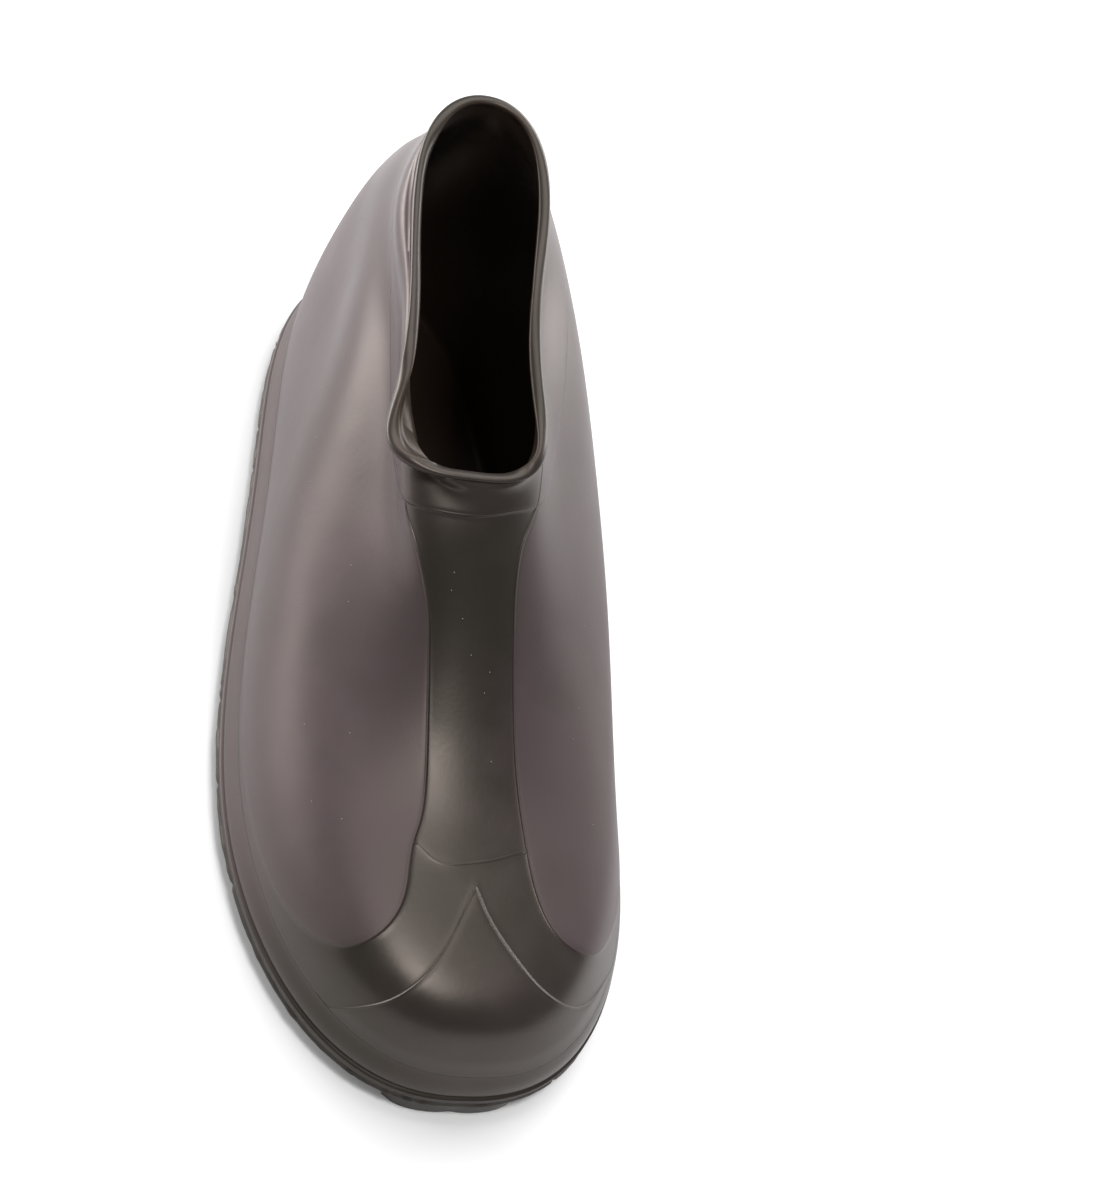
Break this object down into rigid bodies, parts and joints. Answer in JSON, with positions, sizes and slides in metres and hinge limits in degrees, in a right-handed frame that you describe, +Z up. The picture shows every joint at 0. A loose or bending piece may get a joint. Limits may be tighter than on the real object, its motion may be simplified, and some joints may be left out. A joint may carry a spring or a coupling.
{
  "type": "rubber overshoe",
  "caption": "Ankle-high slip-on rubber overshoe for the right foot, open at the collar, with a banded sole edge, kick-off ledge and cleated outsole.",
  "frame": {"origin": "on the floor, under the centre of the box round the shoe", "axes": "+Z up, toe towards -Y, heel towards +Y, inner (big toe) side towards +X"},
  "size_m": [0.1276, 0.3186, 0.1382],
  "materials": {
    "upper_rubber": "moulded natural rubber, soft satin",
    "foxing_rubber": "moulded natural rubber, satin with a trimmed edge",
    "outsole_rubber": "moulded natural rubber, matt"
  },
  "bodies": {
    "root": {"upper": "upper_rubber", "foxing": "foxing_rubber", "outsole": "outsole_rubber"}
  },
  "joints": []
}
